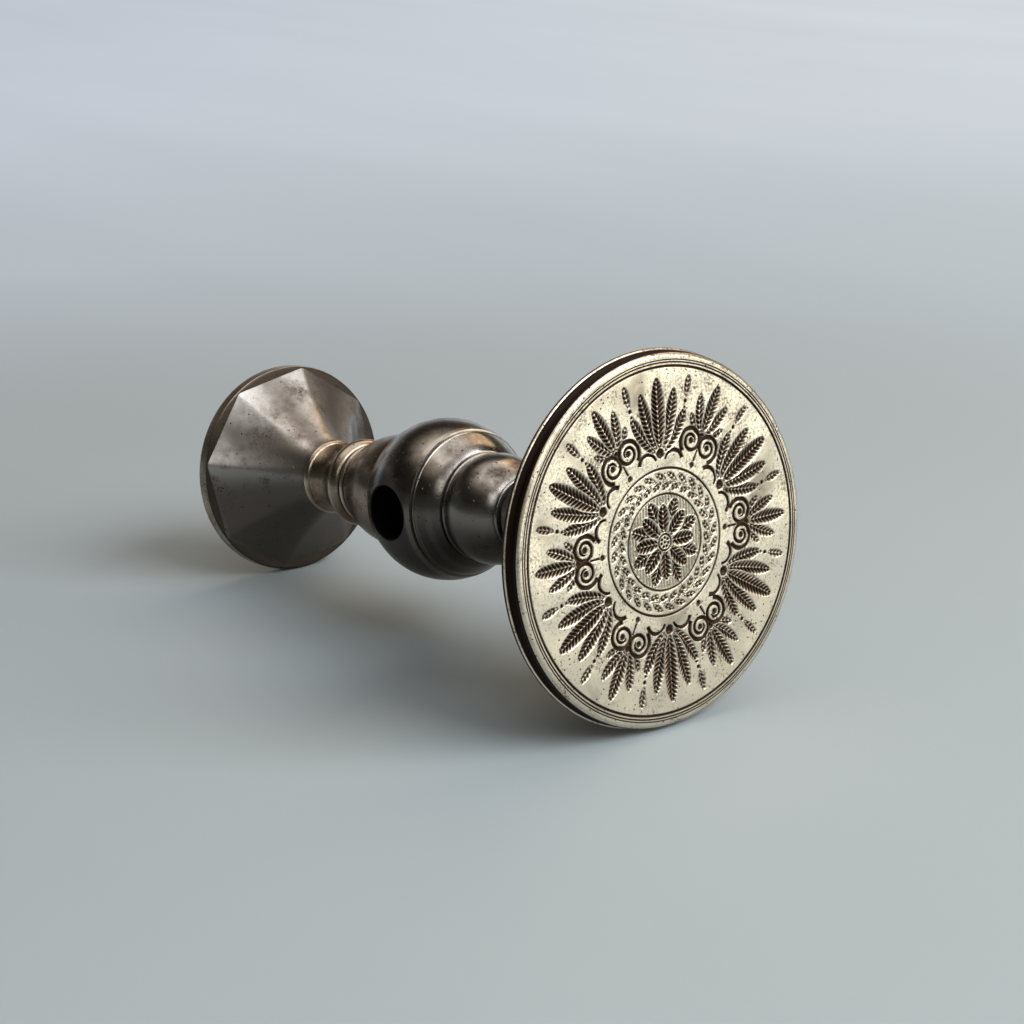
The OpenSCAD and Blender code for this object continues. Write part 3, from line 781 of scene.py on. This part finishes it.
def filed_boss(name, node, body, foot_z, way, length, foot_r, neck_r, hollow, turn, bore_r, bore_deep):
    """Facet distance falls along a hollow curve; radius is that over the power mean of the cosines to the facets."""
    t = np.linspace(0, 1, 90)[:, None]
    angle = around(480)
    a0, a1 = foot_r * math.cos(math.pi / FACETS), neck_r * math.cos(math.pi / FACETS)
    flat = a0 + (a1 - a0) * t - 4 * hollow * math.hypot(a0 - a1, length) / length * t * (1 - t)
    power = FOOT_POWER * (1 - t) ** 2 + NECK_POWER
    facet = np.radians(turn + 360 / FACETS * np.arange(FACETS)).reshape(-1, 1, 1)
    largest = (np.maximum(np.cos(angle - facet), 0) ** power).sum(0) ** (1 / power)
    side = place(flat / largest, angle, foot_z + way * length * t)
    neck_z = foot_z + way * length
    bore_z = neck_z - way * bore_deep
    bore = [place(bore_r + 0 * angle, angle, z) for z in (neck_z, bore_z)]
    points = np.concatenate([place(0 * angle, 0, foot_z), side, *bore, place(0 * angle, 0, bore_z)])
    hollows = HOLLOW_STAIN * np.cos(FACETS / 2 * (angle - math.radians(turn))) ** 2
    skin(name, points[::-1] if way > 0 else points, body, node, "browned_steel", browned_steel, sharp=60, cut=hollows)


filed_boss("small_boss_filed", "small_boss", "small_head", foot_z=SMALL_T, way=1, length=8.4, foot_r=12.75,
           neck_r=4.45, hollow=0.8, turn=10.9, bore_r=1.8, bore_deep=5.3)
filed_boss("main_boss_filed", "main_boss", "main_head", foot_z=PLATE_Z, way=-1, length=20.0, foot_r=18.5,
           neck_r=4.33, hollow=2.2, turn=0.0, bore_r=2.05, bore_deep=8.3)

# %% [markdown]
# The screws have a real thread, which shows when a head is unscrewed.
# A thread is a radius that depends on both height and angle: a triangle wave that climbs one pitch a turn.
# A spiral swept along a path would do as well, but this needs no joining to the core.
# Crests and roots are flattened, and the wave fades out at both ends.

# %% Screws
PITCH = 1.0
THREAD_DEEP = 0.54 * PITCH
ROWS_A_TURN = 12


def stud(name, node, body, z0, z1, r):
    """Radius less a flattened triangle wave of height over pitch, minus turns; both ends are chamfered and closed."""
    z = np.linspace(z0, z1, int((z1 - z0) / PITCH * ROWS_A_TURN))[:, None]
    angle = around(64)
    wave = np.abs(np.mod(z / PITCH - angle / (2 * np.pi), 1) * 2 - 1)
    wave = np.clip(wave * 1.25 - 0.12, 0, 1)
    end = np.minimum(z - z0, z1 - z)
    radius = np.minimum(r - THREAD_DEEP * wave, r - PITCH / 2 + end)
    points = np.concatenate([place(0 * angle, 0, z0), place(radius, angle, z), place(0 * angle, 0, z1)])
    skin(name, points[::-1], body, node, "screw_steel", screw_steel, sharp=60)


stud("main_screw_thread", "main_stud", "main_screw", z0=38.942, z1=56.942, r=2.0)
stud("small_screw_thread", "small_stud", "small_screw", z0=5.1, z1=17.6, r=1.75)

# %% [markdown]
# The ball ends in a scribed double line, and a moulding carries its slope on from there to the mouth of the bell.
# The solid has a plain shoulder there. A thin closed ring is laid over it, flush with the ball,
# because a line a quarter of a millimetre wide is easier to draw as an outline than to cut.

# %% Moulding of the ball
BALL_R, OVER = 9.4, 0.02
moulding = arc(3.2, 2.17, 5.52, 56, 25, 40)
scribed = [[7.98, 4.42], [8.28, 4.34], [8.33, 4.26], [8.3, 4.17], [8.08, 4.08]]
h = np.linspace(3.98, 3.5, 8)
flush = np.stack([np.sqrt((BALL_R + OVER) ** 2 - h ** 2), h], 1)
inside = [[8.6, 3.4], [5.3, 3.4], [5.3, 6.65]]
outline = np.concatenate([moulding, scribed, flush, inside]) + [0, BORE_Z]
skin("knop_moulding", round_the_axis(outline), "handle", None, "dark_steel", ball_steel, ring=True, sharp=50)

# %% [markdown]
# The handle's own solids have the right shape already, so they stay and only get their finish.

# %% Finish of the solids
solids = {"knop": ball_steel, "bell_collar": dark_steel, "neck_ring": dark_steel, "stem": stem_steel}
for node, material in solids.items():
    solid = frame["nodes"][node]
    solid.data.materials.clear()
    solid.data.materials.append(material)
